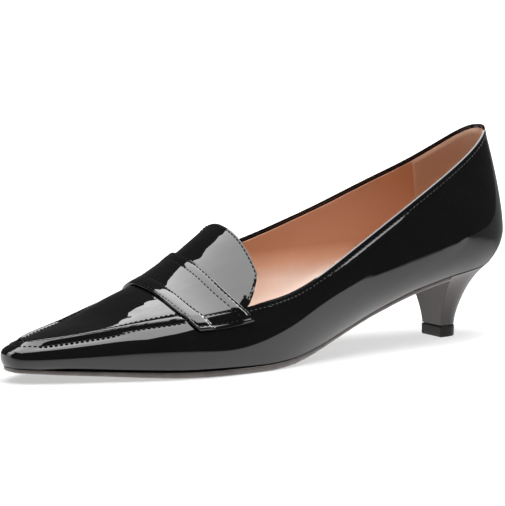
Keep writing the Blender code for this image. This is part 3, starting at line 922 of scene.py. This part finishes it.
# Saddle strap: a top face with two raised margins over a smooth underside.
strapCut = {
    # how far across the vamp, place of the front edge, place of the rear edge
    "edges": (
        (-1.41, 0.697, 0.598), (-1.12, 0.712, 0.609), (-0.86, 0.727, 0.624), (-0.45, 0.740, 0.643),
        (0.00, 0.742, 0.647), (0.45, 0.741, 0.645), (0.86, 0.737, 0.635), (1.12, 0.729, 0.618),
        (1.41, 0.713, 0.608),
    ),
    "gap": 0.3, "columns": 170, "wide": 23.5, "endWide": 9.3,
    # rows from the front edge to the rear edge
    "share": (
        0.0, 0.008, 0.017, 0.026, 0.034, 0.042, 0.050, 0.060, 0.080, 0.12, 0.17, 0.21, 0.235,
        0.250, 0.262, 0.275, 0.30, 0.36, 0.45, 0.54, 0.63, 0.72, 0.78, 0.805, 0.818, 0.830,
        0.845, 0.87, 0.905, 0.930, 0.942, 0.950, 0.958, 0.966, 0.975, 0.984, 0.992, 1.0,
    ),
    # height over the vamp: two thick margins and a thin panel
    "thickAt": (0.0, 0.19, 0.22, 0.245, 0.262, 0.28, 0.31, 0.54, 0.77, 0.80, 0.818, 0.835, 0.86, 0.89, 1.0),
    "thick": (1.26, 1.26, 1.22, 1.12, 1.00, 1.03, 1.06, 1.10, 1.06, 1.03, 1.00, 1.12, 1.22, 1.26, 1.26),
    "panelFront": (0.255, 0.285), "panelRear": (0.795, 0.825),
    # share of that height against the distance from the nearest edge: a puffed rim, then the stitched groove
    "rimAt": (0.0, 0.20, 0.42, 0.62, 0.82, 1.00, 1.20, 1.45, 1.90),
    "rimShare": (0.46, 0.76, 0.93, 0.93, 0.82, 0.71, 0.80, 0.92, 1.0),
    # past the end row the panel drops and the margins rise
    "endRow": 1.04, "endGroove": (0.12, 0.022), "endDrop": 0.40, "endRise": 0.25, "endReach": 0.3,
    "rim": 0.18, "loose": 0.6,
}
strapEdges = np.array(strapCut["edges"])
strapFront, strapRear = (
    through(strapEdges[:, 0], strapEdges[:, i], bendSlopes(strapEdges[:, 0], strapEdges[:, i], False))
    for i in (1, 2))


def strapPlace(share, across):
    return strapFront(across) + (strapRear(across) - strapFront(across)) * share


def strapTop(share, across):
    place = strapPlace(share, across)
    out = np.abs(across)
    fromSide = np.minimum(share, 1.0 - share) * strapCut["wide"]
    nearest = np.minimum(fromSide, (strapEdges[-1, 0] - out) * strapCut["endWide"])
    panel = ease(*strapCut["panelFront"], share) * (1.0 - ease(*strapCut["panelRear"], share))
    pastEnd = np.clip((out - strapCut["endRow"]) / strapCut["endReach"], 0.0, 1.0)
    depth, spread = strapCut["endGroove"]
    height = np.interp(share, strapCut["thickAt"], strapCut["thick"])
    height = height - depth * panel * np.exp(-((out - strapCut["endRow"]) / spread) ** 2)
    height = height - (strapCut["endDrop"] * panel - strapCut["endRise"] * (1.0 - panel)) * pastEnd
    height = height * np.interp(nearest, strapCut["rimAt"], strapCut["rimShare"]) + strapCut["gap"]
    normal = skinNormal(place, across)
    return skinPoint(place, across) + normal * height[..., None], normal


def makeStrap():
    bm = bmesh.new()
    rows = len(strapCut["share"]) - 1
    inner, outer = strapEdges[0, 0], strapEdges[-1, 0]

    def topShape(u, v):
        return strapTop(onSteps(v, strapCut["share"]), inner + (outer - inner) * u)[0]

    def underShape(u, v):
        across = inner + (outer - inner) * u
        place = strapPlace(onSteps(v, strapCut["share"]), across)
        return skinPoint(place, across) + skinNormal(place, across) * strapCut["gap"]

    loose = bm.verts.layers.float.new("loose")
    for vert in bendSheet(bm, strapCut["columns"], rows, topShape)[0]:
        vert[loose] = strapCut["loose"]
    bendSheet(bm, strapCut["columns"], rows, underShape)
    bmesh.ops.bridge_loops(bm, edges=[edge for edge in bm.edges if edge.is_boundary])
    bmesh.ops.recalc_face_normals(bm, faces=bm.faces)
    roundRims(makePiece("saddleStrap", bm, patent, "patent", "strap"), strapCut["rim"], angle=50)


makeStrap()
print("strap made")

# Stitches: short beads of thread, laid along rows on the leather.
stitchCut = {
    "pitch": 2.25, "length": 1.75, "width": 0.62, "height": 0.72,
    # places where the seam's rows start and turn
    "wallSeam": (0.733, 0.9993), "apronSeam": (0.737, 0.992),
    # the tongue's row: share where it starts, share where it turns, how far across it lies, size of its beads
    "tongue": (0.06, 0.90, 0.955), "tongueSize": 1.25,
    "strapRows": (0.042, 0.262, 0.818, 0.958), "strapReach": 1.36,
    "strapEnds": ((1.04, 0.27, 0.81), (1.30, 0.06, 0.94)),        # how far across, share of the start and end
    # bars of thread where the tongue leaves the throat
    "barPlaces": (0.607, 0.617), "bars": (0.895, 0.905, 0.915), "barPitch": 3.0, "barSize": 1.4,
}


def sewRow(bm, points, normals, pitch=stitchCut["pitch"], size=1.0):
    # beads at even steps along a line of points, in millimetres
    steps = np.linalg.norm(np.diff(points, axis=0), axis=1)
    along = np.concatenate(((0.0,), np.cumsum(steps)))
    count = max(int(along[-1] / pitch), 1)
    spots = (np.arange(count) + 0.5) * along[-1] / count

    def read(values, places):
        return np.stack([np.interp(places, along, values[:, i]) for i in range(3)], axis=-1)

    centres = toMetres(read(points, spots))
    near = 0.3     # how far to either side a bead's direction is read
    ahead = unit(read(points, spots + near) - read(points, spots - near))
    up = unit(read(normals, spots))
    beside = unit(np.cross(up, ahead))
    up = np.cross(ahead, beside)
    scale = np.array((stitchCut["length"], stitchCut["width"], stitchCut["height"])) * size * mm
    for centre, x, y, z in zip(centres, ahead, beside, up):
        turn = Matrix((x * scale[0], y * scale[1], z * scale[2])).transposed().to_4x4()
        turn.translation = Vector(centre)
        bmesh.ops.create_icosphere(bm, subdivisions=1, radius=0.5, matrix=turn)


def wallRow(side, places, distance):
    fall = distance / wallReach(places, side)
    return wallPoint(places, side, fall), wallNormal(places, side, fall)


def apronRow(side, places, distance):
    across = side * (1.0 - seamBand(places) * distance / upperCut["nearRows"][-1])
    return apronPoint(places, across), skinNormal(places, across, reach=0.003, spread=0.03)


def sewBothSides(bm, row, places, distance):
    # along the outer side, round the end and back along the inner side in one row
    distance = np.broadcast_to(distance, places.shape)
    outer, outerNormals = row(1.0, places, distance)
    inner, innerNormals = row(-1.0, places[::-1], distance[::-1])
    sewRow(bm, np.concatenate((outer, inner)), np.concatenate((outerNormals, innerNormals)))


def roundToe(start, end):
    # places from start to end, closer together towards the end
    return start + (end - start) * np.sin(np.linspace(0.0, math.pi / 2.0, 200))


def sewTongue(bm):
    start, end, reach = stitchCut["tongue"]
    rise = np.linspace(start, end, 60)
    turn = np.linspace(1.0, -1.0, 160)
    share = np.concatenate((rise, np.full(turn.shape, end), rise[::-1]))
    side = reach * np.concatenate((np.ones(rise.shape), turn, -np.ones(rise.shape)))
    place, across = tonguePlace(share, side)
    normals = skinNormal(place, across, reach=0.004, spread=0.03)
    sewRow(bm, tonguePoint(share, side), normals, size=stitchCut["tongueSize"])


def sewStrap(bm):
    across = np.linspace(-stitchCut["strapReach"], stitchCut["strapReach"], 240)
    for share in stitchCut["strapRows"]:
        sewRow(bm, *strapTop(np.full(across.shape, share), across))
    for side in (1.0, -1.0):
        for reach, start, end in stitchCut["strapEnds"]:
            share = np.linspace(start, end, 80)
            sewRow(bm, *strapTop(share, np.full(share.shape, reach * side)))


def sewBars(bm):
    place = np.linspace(*stitchCut["barPlaces"], 20)
    for side in (1.0, -1.0):
        for reach in stitchCut["bars"]:
            across = np.full(place.shape, reach * side)
            normals = skinNormal(place, across, reach=0.004, spread=0.03)
            sewRow(bm, apronPoint(place, across), normals, stitchCut["barPitch"], stitchCut["barSize"])


def makeStitches():
    bm = bmesh.new()
    shine = bm.verts.layers.float.new("shine")
    toplinePlaces = lastShape["throat"] * (1.0 + np.cos(np.linspace(0.1, math.pi, 240))) / 2.0
    sewBothSides(bm, wallRow, toplinePlaces, toplineProfile["row"])
    # only the topline's thread shines
    for vert in bm.verts:
        vert[shine] = 1.0
    seamPlaces = roundToe(*stitchCut["wallSeam"])
    sewBothSides(bm, wallRow, seamPlaces, seamRow(seamPlaces))
    sewBothSides(bm, apronRow, roundToe(*stitchCut["apronSeam"]), seamProfile["apronRow"])
    sewTongue(bm)
    sewStrap(bm)
    sewBars(bm)
    makePiece("stitches", bm, thread, "patent")


makeStitches()
print("stitches made")

# Stage: pale floor, soft boxes and the camera at the photograph's angle.
stageCut = {
    # the floor glows least by the toe's contact, a painted shadow there, and more further off
    "floorHalf": 8.0, "floorTint": (0.56, 0.56, 0.56), "paintedShadowSpot": (0.085, 0.03, 0.0),
    "glowReach": (0.04, 0.18, 0.80), "floorGlow": (0.30, 0.54, 1.05),
    "cameraAzimuth": 145.98, "cameraElevation": 9.6, "cameraDistance": 2.0,
    "lens": 324.3, "shift": (-0.01575, 0.2019), "world": 0.08,
    # what the gloss sees of the floor: a pale card, its brightness along the line of sight,
    # plus towards the camera
    "cardPlaces": (-0.17, -0.03, 0.03, 0.06, 0.09, 0.14, 0.25, 0.50, 1.00),
    "cardGlow": (0.0, 0.95, 1.4, 1.4, 0.95, 0.5, 0.2, 0.06, 0.0), "cardStrength": 1.75,
}
softBoxes = (
    # name, place, point it looks at, width, depth, power, and whether gloss or matt surfaces see it
    ("overhead", (-0.02, -0.14, 0.95), (-0.02, -0.14, 0.0), 1.15, 1.14, 26.0, "gloss"),
    ("rearStrip", (-0.78, 0.15, 0.95), (-0.78, 0.15, 0.0), 0.30, 1.25, 22.0, "gloss"),
    ("frontHigh", (0.95, -0.55, 0.85), (0.05, 0.0, 0.03), 0.55, 0.70, 9.0, "gloss"),
    ("frontLow", (1.15, -0.65, 0.28), (0.10, 0.0, 0.02), 0.50, 0.45, 2.2, "gloss"),
    ("ceiling", (0.00, -0.02, 1.20), (-0.05, 0.0, 0.0), 1.20, 1.20, 25.0, "matt"),
)


def stageSheet(name, finish):
    bm = bmesh.new()
    bmesh.ops.create_grid(bm, x_segments=2, y_segments=2, size=stageCut["floorHalf"])
    sheet = addMesh(name, bm, finish.material)
    return sheet


def makeFloor():
    finish = Finish("floorPaper", 0.7)
    finish.put("Base Color", (*stageCut["floorTint"], 1.0))
    finish.put("Emission Color", (1.0, 1.0, 1.0, 1.0))
    # weakest glow by the toe's contact: painted shadow
    away = finish.measure("DISTANCE", stageCut["paintedShadowSpot"])
    near, mid, far = stageCut["glowReach"]
    nearGlow, midGlow, farGlow = stageCut["floorGlow"]
    rise = finish.spread(away, near, mid, nearGlow, midGlow)
    glow = finish.join(rise, finish.spread(away, mid, far, 0.0, farGlow - midGlow), "ADD")
    finish.feed(glow, "Emission Strength")
    stageSheet("floor", finish).visible_glossy = False


def makeCard():
    finish = Finish("floorCard", 1.0, specular=0.0)
    finish.put("Base Color", (0.0, 0.0, 0.0, 1.0))
    azimuth = math.radians(stageCut["cameraAzimuth"])
    along = finish.measure("DOT_PRODUCT", (math.sin(azimuth), -math.cos(azimuth), 0.0))
    places = stageCut["cardPlaces"]
    first, last = places[0], places[-1]
    glows = zip(places, stageCut["cardGlow"])
    stops = [((spot - first) / (last - first), (glow, glow, glow)) for spot, glow in glows]
    finish.color(finish.spread(along, first, last), stops, "Emission Color", "B_SPLINE")
    finish.put("Emission Strength", stageCut["cardStrength"])
    card = stageSheet("floorCard", finish)
    card.visible_camera = card.visible_diffuse = card.visible_shadow = card.visible_transmission = False


def makeLights():
    for name, place, target, width, depth, power, seenBy in softBoxes:
        data = bpy.data.lights.new(name, "AREA")
        data.shape = "RECTANGLE"
        data.size = width
        data.size_y = depth
        data.energy = power
        box = bpy.data.objects.new(name, data)
        box.location = place
        box.visible_diffuse = seenBy == "matt"
        box.visible_glossy = seenBy == "gloss"
        box.rotation_euler = (Vector(target) - Vector(place)).to_track_quat("-Z", "Y").to_euler()
        bpy.context.scene.collection.objects.link(box)
    world = bpy.data.worlds.new("studio")
    world.use_nodes = True
    world.node_tree.nodes["Background"].inputs["Color"].default_value = (1.0, 1.0, 1.0, 1.0)
    world.node_tree.nodes["Background"].inputs["Strength"].default_value = stageCut["world"]
    bpy.context.scene.world = world


def makeCamera():
    azimuth = math.radians(stageCut["cameraAzimuth"])
    elevation = math.radians(stageCut["cameraElevation"])
    level = math.cos(elevation)
    back = Vector((math.sin(azimuth) * level, -math.cos(azimuth) * level, math.sin(elevation)))
    data = bpy.data.cameras.new("camera")
    data.lens = stageCut["lens"]
    data.sensor_width = 36.0
    data.shift_x, data.shift_y = stageCut["shift"]
    data.clip_end = 40.0
    camera = bpy.data.objects.new("camera", data)
    camera.location = back * stageCut["cameraDistance"]
    camera.rotation_euler = (-back).to_track_quat("-Z", "Y").to_euler()
    bpy.context.scene.collection.objects.link(camera)
    bpy.context.scene.camera = camera
    bpy.context.scene.view_settings.view_transform = "Standard"


makeFloor()
makeCard()
makeLights()
makeCamera()
print("stage made")
